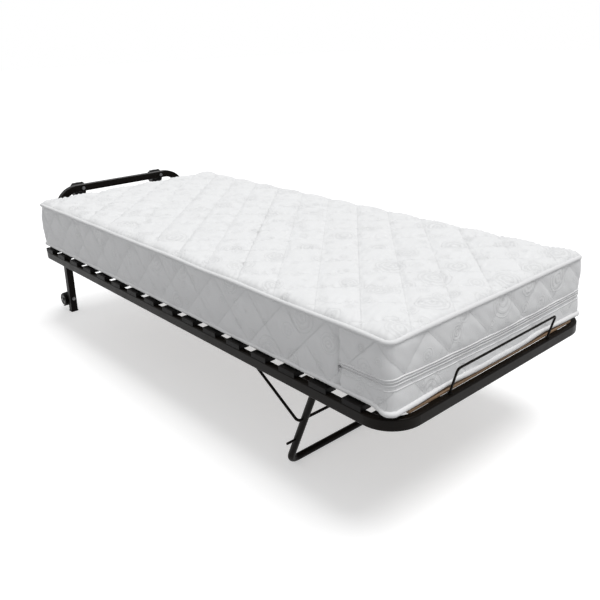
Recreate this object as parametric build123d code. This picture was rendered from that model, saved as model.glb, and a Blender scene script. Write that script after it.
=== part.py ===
"""Stacking guest bed: a steel tube frame with sprung slats and a zipped mattress, carried by a castored
hoop at the head and a braced folding leg at the foot. Sizes are in millimetres. X runs across the bed,
+Y towards the head and +Z up. The model is laid out from the middle of the mattress, on the floor,
and each piece is moved at the end so that the origin is the middle of the whole bed's footprint."""

from math import asin, atan2, cos, degrees, hypot, radians, sin
import os

from build123d import *

# Clearances between pieces
running_clearance = 0.05
press_clearance = 0.02
side_clearance = 0.4
soft_clearance = 0.3

# Main frame: one closed ring of flat-oval tube
frame_width = 844
frame_length = 1936
frame_height = 302
frame_corner = 90
tube_depth = 20
tube_height = 30
tube_edge = 4
tube_wall = 1.5

# Sprung slats and the plastic holders that carry their ends
slat_count = 16
slat_pitch = 113.8
first_slat_y = 866
slat_width = 53
slat_thickness = 8
slat_crown = 5.5
slat_edge = 2.5
holder_length = 60
holder_depth = 34
holder_floor = 3
holder_roof = 2.2
holder_wall = 3
holder_edge = 1.5
peg_side = 9.6
peg_length = 7
peg_clearance = 0.2

# The last slat lies on the foot run of the ring and on two welded tabs
foot_slat_length = 700
foot_slat_lap = 3
foot_slat_tab_x = 260
foot_slat_tab_width = 40
foot_slat_tab_reach = 38
foot_slat_tab_thickness = 3

# Head hoop of square tube, its two stays and its plastic feet
hoop_leg_x = 294
hoop_y = 1026
hoop_bar_height = 538
hoop_tube = 28
hoop_wall = 1.5
hoop_tube_edge = 2.5
hoop_bend = 82
hoop_foot_side = 31
hoop_foot_sole = 4
hoop_foot_plug = 22
hoop_foot_corner = 3
hoop_foot_round = 1
stay_height = 20
stay_width = 20

# Twin-wheel castors on the head side of the hoop
leg_castor_height = 60
bar_castor_x = 188
castor_plate_radius = 12
castor_plate = 3
castor_stem_radius = 5
castor_pin_radius = 4
castor_pin_length = 14
castor_nut_radius = 8
castor_nut = 5
castor_thread_end = 2
castor_trail = 14
castor_drop = 32.5
wheel_radius = 25.5
wheel_width = 17
wheel_hub_radius = 8
wheel_dish = 2.5
wheel_tread = 4
wheel_slope = 2
wheel_chamfer = 1.5
castor_web = 14
castor_web_cut = 4
castor_socket_floor = 2
castor_socket_spare = 1
castor_cover = 2.5
castor_cover_gap = 2
axle_radius = 3
axle_head = 1.6
axle_head_radius = 5

# Folding leg of round tube under the foot end
leg_arm_inset = 48
leg_tube_radius = 10
leg_tube_wall = 1.5
leg_bend = 30
leg_pivot_y = -653
leg_pivot_height = 295
leg_foot_y = -525
leg_top_length = 14
leg_bolt_radius = 4
leg_bush_radius = 6
leg_bolt_head_radius = 7.5
leg_bolt_head = 4
leg_washer = 1.5
leg_washer_rim = 1
leg_nut = 6.5
leg_thread_end = 2
leg_bush_end = 0.5

# Pivot brackets welded inside the side rails
bracket_thickness = 4
bracket_width = 44
bracket_ear_radius = 15
bracket_ear_gap = 6
bracket_plate_height = 318

# Brace rod that runs through the leg's arms and slides in two guides
brace_radius = 4
brace_arm_inset = 24
brace_bend = 12
brace_end_bend = 8
brace_end_inset = 7
brace_hole_distance = 132
brace_length = 272
brace_standing_height = 312
brace_folded_height = 321
slot_clearance = 1
guide_margin = 6
guide_top_gap = 1
guide_thickness = 3
guide_face_inset = 16
guide_flange = 3
guide_flange_height = 16
guide_flange_offset = 16

# Catch pins on the leg's arms and the spring clips that hold them when the leg is folded
catch_distance = 215
catch_radius = 3.5
catch_tip_inset = 11
catch_root = 8
clip_thickness = 1.5
clip_width = 8
clip_gap = 2.5
clip_mouth_clearance = 0.5
clip_arm = 11

# Wire that keeps the mattress from sliding off the foot
retainer_radius = 3
retainer_foot_x = 214
retainer_top_height = 70
retainer_lean = 20
retainer_bend = 9
retainer_peg = 10
retainer_straight = 5
grommet_radius = 6
grommet_height = 3
grommet_neck_radius = 4.6
grommet_round = 1

# Mattress
mattress_width = 824
mattress_length = 1900
mattress_height = 173
mattress_corner = 46
mattress_crown = 7
mattress_shoulder = 34
tape_radius = 6.5
border_inset = 5
cover_side = 6
cover_panel = 15
core_edge = 45
core_sheet = 24
quilt_pitch = 152
quilt_depth = 3.5
quilt_width = 14
quilt_overcut = 0.5

# Heights and places that follow from the sizes above
frame_top = frame_height + tube_height
rail_outer_x = frame_width / 2
rail_inner_x = rail_outer_x - tube_depth
leg_arm_x = rail_inner_x - leg_arm_inset
brace_arm_x = rail_inner_x - brace_arm_inset
brace_end_x = rail_inner_x - brace_end_inset
guide_face_x = rail_inner_x - guide_face_inset
catch_tip_x = rail_inner_x - catch_tip_inset
frame_end_y = frame_length / 2
slat_low = frame_top + holder_floor
slat_half_length = rail_outer_x - holder_wall - side_clearance
holder_inner_x = rail_outer_x - holder_depth
pocket_rise = slat_crown * (1 - (holder_inner_x / slat_half_length) ** 2)
pocket_height = slat_thickness + pocket_rise + side_clearance
holder_height = holder_floor + pocket_height + holder_roof
mattress_low = slat_low + slat_thickness + slat_crown + soft_clearance
slat_rows = [first_slat_y - slat_pitch * k for k in range(slat_count)]


def both_sides(shape):
    """The shape and its mirror image on the other side of the bed."""
    return [shape, mirror(shape, about=Plane.YZ)]


def rod_x(radius, x_from, x_to, y, z):
    """A round bar along X between two places."""
    bar = Cylinder(radius, abs(x_to - x_from), rotation=(0, 90, 0))
    return Pos((x_from + x_to) / 2, y, z) * bar


def rod_y(radius, y_from, y_to, x, z):
    """A round bar along Y between two places."""
    bar = Cylinder(radius, abs(y_to - y_from), rotation=(90, 0, 0))
    return Pos(x, (y_from + y_to) / 2, z) * bar


def block(x_range, y_range, z_range):
    """A rectangular block from its three ranges."""
    sizes = [abs(high - low) for low, high in (x_range, y_range, z_range)]
    middle = [(low + high) / 2 for low, high in (x_range, y_range, z_range)]
    return Pos(*middle) * Box(*sizes)


def swept(path, section):
    """A flat section carried along a path that starts square to it."""
    return sweep(Plane(origin=path @ 0, z_dir=path % 0) * section, path=path)


def ring_slab(inset):
    """The frame's ring of tube, or the same ring drawn in by a wall thickness."""
    depth = tube_depth - 2 * inset
    corner = frame_corner - inset
    outline = RectangleRounded(frame_width - 2 * inset, frame_length - 2 * inset, corner)
    hole = RectangleRounded(
        frame_width - 2 * inset - 2 * depth, frame_length - 2 * inset - 2 * depth, corner - depth
    )
    ring = extrude(outline - hole, tube_height - 2 * inset)
    long_edges = ring.edges().group_by(Axis.Z)[0] + ring.edges().group_by(Axis.Z)[-1]
    return Pos(0, 0, frame_height + inset) * fillet(long_edges, tube_edge - inset)


def main_frame():
    """The tube ring, its stamped windows for the slat holders and the tabs under the last slat."""
    frame = ring_slab(0) - ring_slab(tube_wall)
    window = peg_side + 2 * peg_clearance
    rail_middle_x = rail_outer_x - tube_depth / 2
    for y in slat_rows:
        for side in (-1, 1):
            frame -= Pos(side * rail_middle_x, y, frame_top) * Box(window, window, 4 * tube_wall)
    for side in (-1, 1):
        neck = Cylinder(grommet_neck_radius + press_clearance, 4 * tube_wall)
        frame -= Pos(side * retainer_foot_x, retainer_foot_y(), frame_top) * neck
    inner_y = frame_end_y - tube_depth
    for side in (-1, 1):
        tab_x = side * foot_slat_tab_x
        frame += block(
            (tab_x - foot_slat_tab_width / 2, tab_x + foot_slat_tab_width / 2),
            (-inner_y - tube_edge - tube_wall, -inner_y + foot_slat_tab_reach),
            (frame_top - foot_slat_tab_thickness, frame_top),
        )
    return frame


def retainer_foot_y():
    """The wire's feet stand in the middle of the foot run's top face."""
    return -(frame_end_y - tube_depth / 2)


def slat(y):
    """A crowned beech slat: an arched strip with rounded long edges."""
    rise_low = slat_low + slat_crown
    end = slat_half_length
    with_thickness = slat_low + slat_thickness
    under = ThreePointArc((-end, slat_low), (0, rise_low), (end, slat_low))
    over = ThreePointArc((end, with_thickness), (0, rise_low + slat_thickness), (-end, with_thickness))
    outline = under + Line(under @ 1, over @ 0) + over + Line(over @ 1, under @ 0)
    strip = extrude(Plane.XZ * make_face(outline), slat_width)
    long_edges = strip.edges().sort_by(SortBy.LENGTH)[-4:]
    return Pos(0, y + slat_width / 2, 0) * fillet(long_edges, slat_edge)


def foot_slat():
    """The straight end slat, lying on the inner edge of the foot run and on the tabs."""
    near_y = -(frame_end_y - tube_depth) - foot_slat_lap
    strip = Box(foot_slat_length, slat_width, slat_thickness)
    long_edges = strip.edges().filter_by(Axis.X)
    strip = fillet(long_edges, slat_edge)
    return Pos(0, near_y + slat_width / 2, frame_top + slat_thickness / 2) * strip


def slat_holder(y):
    """A plastic end cap for one slat on the left rail, with a peg that presses into the rail."""
    x_range = (-rail_outer_x, -holder_inner_x)
    shell = block(x_range, (y - holder_length / 2, y + holder_length / 2), (0, holder_height))
    upper = shell.edges().group_by(Axis.Z)[-1]
    shell = Pos(0, 0, frame_top) * fillet(upper, holder_edge)
    pocket_half = slat_width / 2 + side_clearance
    shell -= block(
        (-slat_half_length - side_clearance, -holder_inner_x + holder_wall),
        (y - pocket_half, y + pocket_half),
        (slat_low, slat_low + pocket_height),
    )
    peg = Box(peg_side, peg_side, peg_length)
    rail_middle_x = rail_outer_x - tube_depth / 2
    return shell + Pos(-rail_middle_x, y, frame_top - peg_length / 2) * peg


def head_hoop():
    """The square-tube hoop, open at its two feet, bored for the castors' stems."""
    corners = [
        (-hoop_leg_x, hoop_y, hoop_foot_sole),
        (-hoop_leg_x, hoop_y, hoop_bar_height),
        (hoop_leg_x, hoop_y, hoop_bar_height),
        (hoop_leg_x, hoop_y, hoop_foot_sole),
    ]
    path = FilletPolyline(*corners, radius=hoop_bend)
    bore_side = hoop_tube - 2 * hoop_wall
    outer = RectangleRounded(hoop_tube, hoop_tube, hoop_tube_edge)
    inner = RectangleRounded(bore_side, bore_side, hoop_tube_edge - hoop_wall)
    hoop = swept(path, outer) - swept(path, inner)
    for x, z in castor_places():
        hoop -= rod_y(castor_stem_radius + press_clearance, hoop_y - hoop_tube, hoop_y + hoop_tube, x, z)
    return hoop


def hoop_stay():
    """A short square tube that welds the left leg of the hoop to the ring's head run."""
    length = hoop_y - hoop_tube / 2 - frame_end_y
    section = RectangleRounded(stay_width, stay_height, hoop_tube_edge)
    section -= RectangleRounded(
        stay_width - 2 * hoop_wall, stay_height - 2 * hoop_wall, hoop_tube_edge - hoop_wall
    )
    tube = extrude(Plane.XZ * section, -length)
    return Pos(-hoop_leg_x, frame_end_y, frame_height + tube_height / 2) * tube


def hoop_foot():
    """The plastic cap in the foot of the hoop's left leg."""
    sole = extrude(RectangleRounded(hoop_foot_side, hoop_foot_side, hoop_foot_corner), hoop_foot_sole)
    sole = fillet(sole.edges().group_by(Axis.Z)[0], hoop_foot_round)
    plug_side = hoop_tube - 2 * hoop_wall - 2 * press_clearance
    plug = extrude(RectangleRounded(plug_side, plug_side, hoop_tube_edge - hoop_wall), hoop_foot_plug)
    return Pos(-hoop_leg_x, hoop_y, 0) * (sole + plug)


def castor_places():
    """Where each castor's stem crosses the hoop: two low on the legs, two on the bar."""
    return [
        (-hoop_leg_x, leg_castor_height),
        (hoop_leg_x, leg_castor_height),
        (-bar_castor_x, hoop_bar_height),
        (bar_castor_x, hoop_bar_height),
    ]


def castor_axle_place(x, z):
    """The middle of a castor's axle, hanging below and beyond its stem."""
    return x, hoop_y + hoop_tube / 2 + castor_drop, z - castor_trail


def castor_stem(x, z):
    """Threaded stem through the hoop, its plate on the head side and its nut on the other."""
    face = hoop_y + hoop_tube / 2
    back = hoop_y - hoop_tube / 2
    stem = rod_y(castor_stem_radius, back - castor_nut - castor_thread_end, face, x, z)
    stem += rod_y(castor_plate_radius, face, face + castor_plate, x, z)
    stem += rod_y(castor_pin_radius, face, face + castor_plate + castor_pin_length, x, z)
    nut = extrude(Plane.XZ * RegularPolygon(castor_nut_radius, 6), castor_nut)
    return stem + Pos(x, back, z) * nut


def castor_hood(x, z):
    """Moulded housing: a swivel socket, a web between the wheels and a cover over their upper half."""
    _, axle_y, axle_z = castor_axle_place(x, z)
    socket_start = hoop_y + hoop_tube / 2 + castor_plate + side_clearance
    cover_inner = wheel_radius + castor_cover_gap
    cover_outer = cover_inner + castor_cover
    half_width = castor_web / 2 + side_clearance + wheel_width
    profile = Circle(cover_outer) - Circle(cover_inner)
    profile -= Pos(cover_outer, 0) * Rectangle(2 * cover_outer, 4 * cover_outer)
    cover = extrude(Plane.YZ * profile, half_width, both=True)
    below_web = Rectangle(2 * cover_outer, 4 * cover_outer)
    web_profile = Circle(cover_outer) - Pos(cover_outer + castor_web_cut, 0) * below_web
    web_profile += Circle(wheel_hub_radius)
    web = extrude(Plane.YZ * web_profile, castor_web / 2, both=True)
    hood = Pos(x, axle_y, axle_z) * (cover + web)
    hood -= block(
        (x - 2 * half_width, x + 2 * half_width),
        (socket_start - 4 * cover_outer, socket_start),
        (z - 4 * cover_outer, z + 4 * cover_outer),
    )
    bore_end = hoop_y + hoop_tube / 2 + castor_plate + castor_pin_length + castor_socket_spare
    hood += rod_y(castor_web / 2, socket_start, bore_end + castor_socket_floor, x, z)
    hood -= rod_y(castor_pin_radius + running_clearance, socket_start - castor_socket_spare, bore_end, x, z)
    return hood - rod_x(axle_radius + press_clearance, x - 2 * castor_web, x + 2 * castor_web, axle_y, axle_z)


def castor_wheel(x, z, side):
    """One dished wheel with a rounded tread, on the given side of the castor's web."""
    _, axle_y, axle_z = castor_axle_place(x, z)
    inner_face = castor_web / 2 + side_clearance
    outer_face = inner_face + wheel_width - side_clearance
    bore = axle_radius + running_clearance
    rim = wheel_radius - wheel_tread
    outline = Polyline(
        (inner_face, bore),
        (outer_face, bore),
        (outer_face, wheel_hub_radius),
        (outer_face - wheel_dish, wheel_hub_radius + wheel_slope),
        (outer_face - wheel_dish, rim - wheel_slope),
        (outer_face, rim),
        (outer_face - wheel_chamfer, wheel_radius),
        (inner_face + wheel_chamfer, wheel_radius),
        (inner_face, rim),
        close=True,
    )
    wheel = revolve(make_face(outline), Axis.X)
    if side < 0:
        wheel = mirror(wheel, about=Plane.YZ)
    return Pos(x, axle_y, axle_z) * wheel


def castor_axle(x, z):
    """The steel axle through the web, with a flat head outside each wheel."""
    _, axle_y, axle_z = castor_axle_place(x, z)
    half = castor_web / 2 + side_clearance + wheel_width
    axle = rod_x(axle_radius, x - half, x + half, axle_y, axle_z)
    for side in (-1, 1):
        head_from = x + side * (half + side_clearance)
        axle += rod_x(axle_radius, x, head_from, axle_y, axle_z)
        axle += rod_x(axle_head_radius, head_from, head_from + side * axle_head, axle_y, axle_z)
    return axle


def arm_direction():
    """Unit vector down the leg's arm at rest, as its Y and Z parts."""
    run = leg_foot_y - leg_pivot_y
    fall = leg_tube_radius - leg_pivot_height
    length = hypot(run, fall)
    return run / length, fall / length


def on_arm(distance):
    """The Y and Z of a point on the arm's axis at this distance from the pivot."""
    along_y, along_z = arm_direction()
    return leg_pivot_y + distance * along_y, leg_pivot_height + distance * along_z


def leg_fold_angle():
    """Degrees from standing to lying flat under the frame."""
    along_y, along_z = arm_direction()
    return degrees(atan2(-along_z, along_y))


def brace_angles():
    """The brace's slope in degrees with the leg standing and with it folded flat."""
    _, hole_z = on_arm(brace_hole_distance)
    standing = degrees(asin((brace_standing_height - hole_z) / brace_length))
    folded = degrees(asin((brace_folded_height - leg_pivot_height) / brace_length))
    return standing, folded


def brace_end(share):
    """The Y and Z of the brace's sliding end when the leg has turned this share of its fold."""
    standing, folded = brace_angles()
    turned = radians(leg_fold_angle() * (share - 1))
    slope = radians(standing + (folded - standing) * share)
    hole_y = leg_pivot_y + brace_hole_distance * cos(turned)
    hole_z = leg_pivot_height + brace_hole_distance * sin(turned)
    return hole_y + brace_length * cos(slope), hole_z + brace_length * sin(slope)


def folding_leg():
    """The U of round tube, bored for its pivot bushes, the brace and the catch pins."""
    top_y, top_z = on_arm(-leg_top_length)
    corners = [
        (-leg_arm_x, top_y, top_z),
        (-leg_arm_x, leg_foot_y, leg_tube_radius),
        (leg_arm_x, leg_foot_y, leg_tube_radius),
        (leg_arm_x, top_y, top_z),
    ]
    path = FilletPolyline(*corners, radius=leg_bend)
    leg = swept(path, Circle(leg_tube_radius)) - swept(path, Circle(leg_tube_radius - leg_tube_wall))
    brace_y, brace_z = on_arm(brace_hole_distance)
    catch_y, catch_z = on_arm(catch_distance)
    inner_x = leg_arm_x - 2 * leg_tube_radius
    outer_x = leg_arm_x + 2 * leg_tube_radius
    for side in (-1, 1):
        bush_hole = leg_bush_radius + press_clearance
        leg -= rod_x(bush_hole, side * inner_x, side * outer_x, leg_pivot_y, leg_pivot_height)
        brace_hole = brace_radius + running_clearance
        leg -= rod_x(brace_hole, side * inner_x, side * outer_x, brace_y, brace_z)
        catch_hole = catch_radius + press_clearance
        leg -= rod_x(catch_hole, side * leg_arm_x, side * outer_x, catch_y, catch_z)
    return leg


def leg_bush():
    """Nylon sleeve through the left arm, long enough to space the arm from its bracket."""
    inner_x = leg_arm_x - leg_tube_radius - leg_bush_end
    outer_x = leg_arm_x + leg_tube_radius + bracket_ear_gap - side_clearance
    sleeve = rod_x(leg_bush_radius, -inner_x, -outer_x, leg_pivot_y, leg_pivot_height)
    bore = leg_bolt_radius + running_clearance
    return sleeve - rod_x(bore, -inner_x + 1, -outer_x - 1, leg_pivot_y, leg_pivot_height)


def leg_pivot_bolt():
    """The bolt through the left bracket's ear and bush, with its head inside the arm and its nut outside."""
    head_x = leg_arm_x - leg_tube_radius - leg_bush_end - side_clearance
    ear_x = leg_arm_x + leg_tube_radius + bracket_ear_gap
    nut_x = ear_x + bracket_thickness
    thread_end_x = nut_x + leg_nut + leg_thread_end
    bolt = rod_x(leg_bolt_radius, -head_x, -thread_end_x, leg_pivot_y, leg_pivot_height)
    head = extrude(Plane.YZ * RegularPolygon(leg_bolt_head_radius, 6), leg_bolt_head)
    washer_radius = leg_bolt_head_radius + leg_washer_rim
    washer = rod_x(washer_radius, -head_x + leg_washer, -head_x, leg_pivot_y, leg_pivot_height)
    bolt += Pos(-head_x + leg_washer, leg_pivot_y, leg_pivot_height) * head
    nut = extrude(Plane.YZ * RegularPolygon(leg_bolt_head_radius, 6), -leg_nut)
    return bolt + washer + Pos(-nut_x, leg_pivot_y, leg_pivot_height) * nut


def leg_bracket():
    """Folded steel bracket: a plate welded to the left rail's inner face and an ear for the bolt."""
    ear_x = leg_arm_x + leg_tube_radius + bracket_ear_gap
    half = bracket_width / 2
    ear = Pos(-ear_x, leg_pivot_y, leg_pivot_height) * extrude(
        Plane.YZ * Circle(bracket_ear_radius), -bracket_thickness
    )
    plate = block(
        (-rail_inner_x, -ear_x),
        (leg_pivot_y - half, leg_pivot_y + half),
        (bracket_plate_height - bracket_thickness, bracket_plate_height),
    )
    web = block(
        (-ear_x - bracket_thickness, -ear_x),
        (leg_pivot_y - bracket_ear_radius, leg_pivot_y + bracket_ear_radius),
        (leg_pivot_height, bracket_plate_height),
    )
    bolt_hole = rod_x(
        leg_bolt_radius + press_clearance,
        -ear_x + bracket_thickness,
        -ear_x - 2 * bracket_thickness,
        leg_pivot_y,
        leg_pivot_height,
    )
    return ear + plate + web - bolt_hole


def brace():
    """The bent rod: a crossbar through the leg's arms, two arms, and ends turned out into the guides."""
    hole_y, hole_z = on_arm(brace_hole_distance)
    end_y, end_z = brace_end(0)
    corners = [
        (-brace_end_x, end_y, end_z),
        (-brace_arm_x, end_y, end_z),
        (-brace_arm_x, hole_y, hole_z),
        (brace_arm_x, hole_y, hole_z),
        (brace_arm_x, end_y, end_z),
        (brace_end_x, end_y, end_z),
    ]
    bends = [brace_end_bend, brace_bend, brace_bend, brace_end_bend]
    return swept(FilletPolyline(*corners, radius=bends), Circle(brace_radius))


def brace_guide():
    """The slotted plate inside the left rail, with a flange at each end welded to the rail."""
    stations = 9
    points = [brace_end(k / (stations - 1)) for k in range(stations)]
    route = Spline(*points)
    slot_radius = brace_radius + slot_clearance
    plate_radius = slot_radius + guide_margin
    slot = trace(route, 2 * slot_radius)
    plate = trace(route, 2 * plate_radius)
    for end in (points[0], points[-1]):
        slot += Pos(*end) * Circle(slot_radius)
        plate += Pos(*end) * Circle(plate_radius)
    low_y = min(y for y, _ in points) - guide_flange_offset
    high_y = max(y for y, _ in points) + guide_flange_offset
    strip_low = brace_standing_height - guide_flange_height / 2
    strip_high = brace_standing_height + guide_flange_height / 2
    middle_y = (low_y + high_y) / 2
    plate += Pos(middle_y, brace_standing_height) * Rectangle(high_y - low_y, guide_flange_height)
    above_frame = Rectangle(2 * (high_y - low_y), 2 * tube_height)
    plate -= Pos(middle_y, frame_top - guide_top_gap + tube_height) * above_frame
    guide = extrude(Plane.YZ * (plate - slot), guide_thickness)
    guide = Pos(-guide_face_x - guide_thickness, 0, 0) * guide
    for y in (low_y, high_y - guide_flange):
        guide += block((-rail_inner_x, -guide_face_x), (y, y + guide_flange), (strip_low, strip_high))
    return guide


def catch_pin():
    """The round stub welded through the left arm's outer wall."""
    y, z = on_arm(catch_distance)
    return rod_x(catch_radius, -(leg_arm_x + leg_tube_radius - catch_root), -catch_tip_x, y, z)


def catch_clip():
    """The spring clip on the left rail that the catch pin swings up into."""
    y = leg_pivot_y + catch_distance
    mouth = catch_radius + clip_mouth_clearance
    outer = mouth + clip_thickness
    inner_x = brace_arm_x + brace_radius + clip_gap
    profile = Circle(outer) + Pos(0, -clip_arm / 2) * Rectangle(2 * outer, clip_arm)
    profile -= Circle(mouth) + Pos(0, -clip_arm) * Rectangle(2 * mouth, 2 * clip_arm)
    hook = extrude(Plane.YZ * profile, clip_width)
    hook = Pos(-inner_x - clip_width, y, leg_pivot_height) * hook
    tongue = block(
        (-rail_inner_x, -inner_x),
        (y - outer, y + outer),
        (leg_pivot_height + outer - clip_thickness / 2, leg_pivot_height + outer + clip_thickness),
    )
    pad = block(
        (-rail_inner_x, -rail_inner_x + clip_thickness),
        (y - outer, y + outer),
        (leg_pivot_height + outer, frame_top - tube_edge - clip_thickness),
    )
    return hook + tongue + pad


def mattress_retainer():
    """The bent wire that stands in the foot run and leans away from the mattress."""
    foot_y = retainer_foot_y()
    top_y = foot_y - retainer_lean
    bend_z = frame_top + retainer_straight
    top_z = frame_top + retainer_top_height
    corners = []
    for side in (-1, 1):
        leg_points = [
            (side * retainer_foot_x, foot_y, frame_top - retainer_peg),
            (side * retainer_foot_x, foot_y, bend_z),
            (side * retainer_foot_x, top_y, top_z),
        ]
        corners += leg_points if side < 0 else leg_points[::-1]
    bends = [2 * retainer_radius, retainer_bend, retainer_bend, 2 * retainer_radius]
    return swept(FilletPolyline(*corners, radius=bends), Circle(retainer_radius))


def retainer_grommet():
    """The rubber grommet round the wire's left foot."""
    body = Cylinder(grommet_radius, grommet_height, align=(Align.CENTER, Align.CENTER, Align.MIN))
    body = fillet(body.edges().group_by(Axis.Z)[-1], grommet_round)
    neck = Cylinder(grommet_neck_radius, tube_wall, align=(Align.CENTER, Align.CENTER, Align.MAX))
    bore = Cylinder(retainer_radius + press_clearance, 4 * grommet_height)
    return Pos(-retainer_foot_x, retainer_foot_y(), frame_top) * (body + neck - bore)


def mattress_plan(inset):
    """The mattress's plan, drawn in by an even inset."""
    corner = mattress_corner - inset
    return RectangleRounded(mattress_width - 2 * inset, mattress_length - 2 * inset, corner)


def quilt_lines():
    """The sewn channels of the top panel: V cuts along both diagonals, a quilt pitch apart."""
    half_x = mattress_width / 2 - mattress_shoulder
    half_y = mattress_length / 2 - mattress_shoulder
    top = mattress_low + mattress_height + mattress_crown
    half_width = quilt_width / 2
    profile = Polygon((-half_width, quilt_overcut), (0, -quilt_depth), (half_width, quilt_overcut), align=None)
    cutter = extrude(Plane.XZ * profile, half_x + half_y, both=True)
    last = int((half_x + half_y) / quilt_pitch)
    channels = []
    for k in range(-last, last + 1):
        for turn in (-45, 45):
            channels.append(Pos(0, k * quilt_pitch, top) * Rot(0, 0, turn) * cutter)
    return channels


def mattress_body():
    """The closed outer form: drawn-in border between two rolled tapes under a crowned, quilted top."""
    tape_low = mattress_low + tape_radius
    tape_high = mattress_low + mattress_height - tape_radius
    border = extrude(mattress_plan(border_inset), tape_high - mattress_low)
    body = Pos(0, 0, mattress_low) * border
    for z in (tape_low, tape_high):
        roll = Pos(0, 0, z) * mattress_plan(tape_radius).wire()
        section = Plane(origin=roll @ 0, z_dir=roll % 0) * Circle(tape_radius)
        body += sweep(section, path=roll)
    panel = loft([
        Pos(0, 0, tape_high) * mattress_plan(border_inset),
        Pos(0, 0, mattress_low + mattress_height + mattress_crown) * mattress_plan(mattress_shoulder),
    ], ruled=True)
    return body + panel


def mattress_cover():
    """The zipped cover: the outer form with its channels, hollow for the core."""
    return mattress_body() - core_block(0)


def core_block(inset):
    """The space inside the cover, drawn in by an inset."""
    side = border_inset + cover_side + inset
    low = mattress_low + cover_side + inset
    high = mattress_low + mattress_height + mattress_crown - cover_panel - inset
    return Pos(0, 0, low) * extrude(mattress_plan(side), high - low)


def mattress_core():
    """The sprung core: foam sheets and a foam edge round the space of the springs."""
    core = core_block(soft_clearance)
    low = mattress_low + cover_side + core_sheet
    high = mattress_low + mattress_height + mattress_crown - cover_panel - core_sheet
    space = extrude(mattress_plan(core_edge), high - low)
    return core - Pos(0, 0, low) * space


def bed_middle_y():
    """The middle of the bed's length, from the retainer's top to the castors' wheels."""
    _, axle_y, _ = castor_axle_place(0, 0)
    head = axle_y + wheel_radius
    foot = retainer_foot_y() - retainer_lean - retainer_radius
    return (head + foot) / 2


def save(name, *shapes):
    """Move the piece's solids to the bed's own origin and write them as one node."""
    solids = [solid for shape in shapes for solid in shape.solids()]
    moved = [Pos(0, -bed_middle_y(), 0) * solid for solid in solids]
    export_step(moved[0] if len(moved) == 1 else Compound(moved), f"parts/{name}.step")


os.makedirs("parts", exist_ok=True)
save("main_frame", main_frame())
for number, row_y in enumerate(slat_rows, start=1):
    save(f"slat_{number:02d}", slat(row_y))
save("foot_slat", foot_slat())
left_holders = [slat_holder(row_y) for row_y in slat_rows]
save("slat_holders_left", *left_holders)
save("slat_holders_right", *[mirror(holder, about=Plane.YZ) for holder in left_holders])
save("head_hoop", head_hoop())
save("hoop_stays", *both_sides(hoop_stay()))
save("hoop_feet", *both_sides(hoop_foot()))
save("folding_leg", folding_leg())
save("leg_brackets", *both_sides(leg_bracket()))
save("leg_pivot_bolts", *both_sides(leg_pivot_bolt()))
save("leg_bushes", *both_sides(leg_bush()))
save("brace", brace())
save("brace_guides", *both_sides(brace_guide()))
save("catch_pins", *both_sides(catch_pin()))
save("catch_clips", *both_sides(catch_clip()))
save("mattress_retainer", mattress_retainer())
save("retainer_grommets", *both_sides(retainer_grommet()))
save("castor_stems", *[castor_stem(x, z) for x, z in castor_places()])
for number, (castor_x, castor_z) in enumerate(castor_places(), start=1):
    save(f"castor_hood_{number}", castor_hood(castor_x, castor_z))
    save(f"castor_axle_{number}", castor_axle(castor_x, castor_z))
    save(f"castor_wheel_{number}_left", castor_wheel(castor_x, castor_z, -1))
    save(f"castor_wheel_{number}_right", castor_wheel(castor_x, castor_z, 1))
cover = mattress_cover()
for channel in quilt_lines():
    cover -= channel
save("mattress_cover", cover)
save("mattress_core", mattress_core())
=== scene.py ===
"""Looks of the stacking bed: the quilted and zipped mattress, the finishes of the frame, and the studio."""

import bpy
import numpy as np
from bpy.props import FloatProperty, FloatVectorProperty, PointerProperty
from mathutils import Matrix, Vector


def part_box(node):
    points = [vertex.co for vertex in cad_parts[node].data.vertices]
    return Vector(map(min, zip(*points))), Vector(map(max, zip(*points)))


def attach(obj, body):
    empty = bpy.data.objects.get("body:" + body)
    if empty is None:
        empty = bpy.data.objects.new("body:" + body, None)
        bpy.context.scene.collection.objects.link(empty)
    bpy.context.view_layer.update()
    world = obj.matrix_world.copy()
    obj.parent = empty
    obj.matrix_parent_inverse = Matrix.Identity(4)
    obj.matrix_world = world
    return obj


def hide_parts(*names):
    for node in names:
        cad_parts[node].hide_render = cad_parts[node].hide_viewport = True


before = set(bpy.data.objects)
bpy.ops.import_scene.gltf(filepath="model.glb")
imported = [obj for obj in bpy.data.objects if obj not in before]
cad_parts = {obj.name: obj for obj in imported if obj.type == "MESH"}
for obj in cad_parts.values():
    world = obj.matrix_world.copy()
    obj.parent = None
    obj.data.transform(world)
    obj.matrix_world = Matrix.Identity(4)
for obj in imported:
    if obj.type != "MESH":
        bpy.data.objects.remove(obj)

bl_info = {
    "name": "Stacking Bed",
    "version": (1, 0, 0),
    "blender": (4, 5, 0),
    "location": "View3D > Sidebar > Stacking Bed",
    "description": "Dresses the stacking bed with its mattress, finishes and studio",
    "category": "Object",
}

COVER_LOW, COVER_HIGH = (np.array(corner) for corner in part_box("mattress_cover"))
COVER_MIDDLE_Y = (COVER_LOW[1] + COVER_HIGH[1]) / 2
COVER_HALF_X = (COVER_HIGH[0] - COVER_LOW[0]) / 2
COVER_HALF_Y = (COVER_HIGH[1] - COVER_LOW[1]) / 2

# From the mattress's middle: the upright seams, and one corner of a border diamond on the near side.
SEAM_Y, BORDER_NODE_Y = -0.786, 0.096

# The top panel stands this much over its tape.
CROWN = 0.007

# The lower edge droops at the foot, rises at the retaining wire's feet and drops past the foot slat's ends.
RETAINER_FOOT_X, SLAT_END_X = 0.214, 0.352
FOOT_DROOP, FOOT_HUMP, HUMP_WIDTH, END_DROOP = 0.0084, 0.0042, 0.075, 0.0020

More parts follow.
